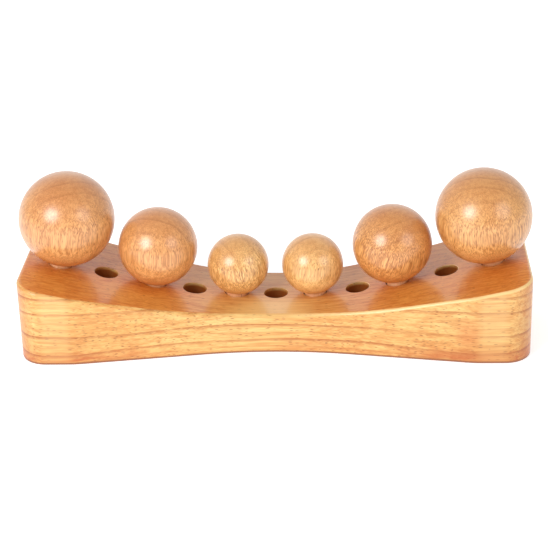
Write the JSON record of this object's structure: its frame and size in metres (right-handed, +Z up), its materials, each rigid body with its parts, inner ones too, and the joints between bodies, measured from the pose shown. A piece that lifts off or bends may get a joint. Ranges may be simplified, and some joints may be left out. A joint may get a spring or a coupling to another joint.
{
  "type": "wooden roller massager",
  "caption": "Scooped wooden board with a row of drilled holes; turned wooden balls on pegs stand in it and roll under the neck, back or feet.",
  "frame": {"origin": "bottom centre of the board, on the plane that the board rests on", "axes": "+X along the board to the right, +Y towards the back, +Z up"},
  "size_m": [0.3736, 0.113, 0.1262],
  "materials": {
    "board_wood": "satin clear lacquer",
    "ball_wood": "satin clear lacquer",
    "peg_wood": "bare, fine turned"
  },
  "bodies": {
    "board": {"base_board": "board_wood"},
    "large_left_peg": {"large_peg_left": "peg_wood"},
    "large_left_ball": {"large_ball_left": "ball_wood"},
    "medium_left_peg": {"medium_peg_left": "peg_wood"},
    "medium_left_ball": {"medium_ball_left": "ball_wood"},
    "small_left_peg": {"small_peg_left": "peg_wood"},
    "small_left_ball": {"small_ball_left": "ball_wood"},
    "small_right_peg": {"small_peg_right": "peg_wood"},
    "small_right_ball": {"small_ball_right": "ball_wood"},
    "medium_right_peg": {"medium_peg_right": "peg_wood"},
    "medium_right_ball": {"medium_ball_right": "ball_wood"},
    "large_right_peg": {"large_peg_right": "peg_wood"},
    "large_right_ball": {"large_ball_right": "ball_wood"}
  },
  "joints": [
    {"name": "large_left_lift", "type": "slide", "parent": "board", "child": "large_left_peg", "axis": [0.2079, 0, 0.9781], "range_m": [0, 0.03]},
    {"name": "large_left_spin", "type": "hinge", "parent": "large_left_peg", "child": "large_left_ball", "pos_m": [-0.15181, 0, 0.09115], "axis": [0.2079, 0, 0.9781], "continuous": true},
    {"name": "medium_left_lift", "type": "slide", "parent": "board", "child": "medium_left_peg", "axis": [0.1305, 0, 0.9914], "range_m": [0, 0.03]},
    {"name": "medium_left_spin", "type": "hinge", "parent": "medium_left_peg", "child": "medium_left_ball", "pos_m": [-0.086, 0, 0.06873], "axis": [0.1305, 0, 0.9914], "continuous": true},
    {"name": "small_left_lift", "type": "slide", "parent": "board", "child": "small_left_peg", "axis": [0.0698, 0, 0.9976], "range_m": [0, 0.03]},
    {"name": "small_left_spin", "type": "hinge", "parent": "small_left_peg", "child": "small_left_ball", "pos_m": [-0.02742, 0, 0.05402], "axis": [0.0698, 0, 0.9976], "continuous": true},
    {"name": "small_right_lift", "type": "slide", "parent": "board", "child": "small_right_peg", "axis": [-0.0698, 0, 0.9976], "range_m": [0, 0.03]},
    {"name": "small_right_spin", "type": "hinge", "parent": "small_right_peg", "child": "small_right_ball", "pos_m": [0.02742, 0, 0.05402], "axis": [-0.0698, 0, 0.9976], "continuous": true},
    {"name": "medium_right_lift", "type": "slide", "parent": "board", "child": "medium_right_peg", "axis": [-0.1305, 0, 0.9914], "range_m": [0, 0.03]},
    {"name": "medium_right_spin", "type": "hinge", "parent": "medium_right_peg", "child": "medium_right_ball", "pos_m": [0.08587, 0, 0.06972], "axis": [-0.1305, 0, 0.9914], "continuous": true},
    {"name": "large_right_lift", "type": "slide", "parent": "board", "child": "large_right_peg", "axis": [-0.2079, 0, 0.9781], "range_m": [0, 0.03]},
    {"name": "large_right_spin", "type": "hinge", "parent": "large_right_peg", "child": "large_right_ball", "pos_m": [0.15181, 0, 0.09115], "axis": [-0.2079, 0, 0.9781], "continuous": true}
  ]
}
